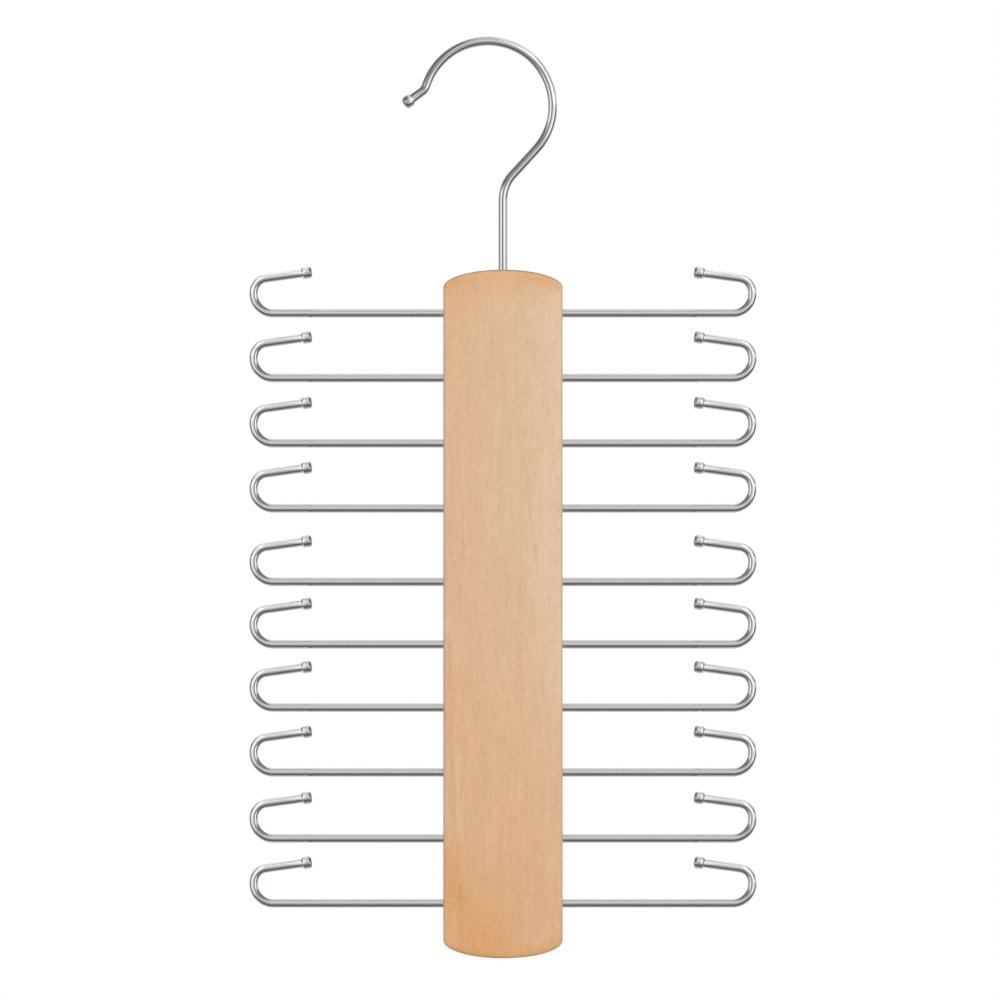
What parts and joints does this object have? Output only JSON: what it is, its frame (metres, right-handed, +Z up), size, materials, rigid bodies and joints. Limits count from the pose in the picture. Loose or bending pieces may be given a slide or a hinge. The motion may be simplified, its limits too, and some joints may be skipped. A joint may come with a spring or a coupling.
{
  "type": "tie hanger",
  "caption": "Flat wood block on a swivelling wire hook, with rows of J-shaped wire tie hooks standing out on both sides.",
  "frame": {"origin": "bearing point of the hook: where the swivel axis meets the underside of the ring, at the top of the rod that carries the hanger", "axes": "+Z up along the swivel axis, -Y to the front, +X to the right seen from the front; the rod runs along Y"},
  "size_m": [0.2, 0.015, 0.3633],
  "materials": {
    "wood": "pale fine-grained hardwood, satin clear coat",
    "hook_wire": "satin nickel plate",
    "tie_hook_wire": "satin nickel plate",
    "sleeve_metal": "turned, plain zinc plate"
  },
  "bodies": {
    "hook": {"swivel_hook": "hook_wire"},
    "rack": {"wood_block": "wood", "hook_sleeve": "sleeve_metal", "tie_hook_left_01": "tie_hook_wire", "tie_hook_left_02": "tie_hook_wire", "tie_hook_left_03": "tie_hook_wire", "tie_hook_left_04": "tie_hook_wire", "tie_hook_left_05": "tie_hook_wire", "tie_hook_left_06": "tie_hook_wire", "tie_hook_left_07": "tie_hook_wire", "tie_hook_left_08": "tie_hook_wire", "tie_hook_left_09": "tie_hook_wire", "tie_hook_left_10": "tie_hook_wire", "tie_hook_right_01": "tie_hook_wire", "tie_hook_right_02": "tie_hook_wire", "tie_hook_right_03": "tie_hook_wire", "tie_hook_right_04": "tie_hook_wire", "tie_hook_right_05": "tie_hook_wire", "tie_hook_right_06": "tie_hook_wire", "tie_hook_right_07": "tie_hook_wire", "tie_hook_right_08": "tie_hook_wire", "tie_hook_right_09": "tie_hook_wire", "tie_hook_right_10": "tie_hook_wire"}
  },
  "joints": [
    {"name": "hook_swivel", "type": "hinge", "parent": "hook", "child": "rack", "pos_m": [0, 0, -0.0875], "axis": [0, 0, 1], "continuous": true}
  ]
}
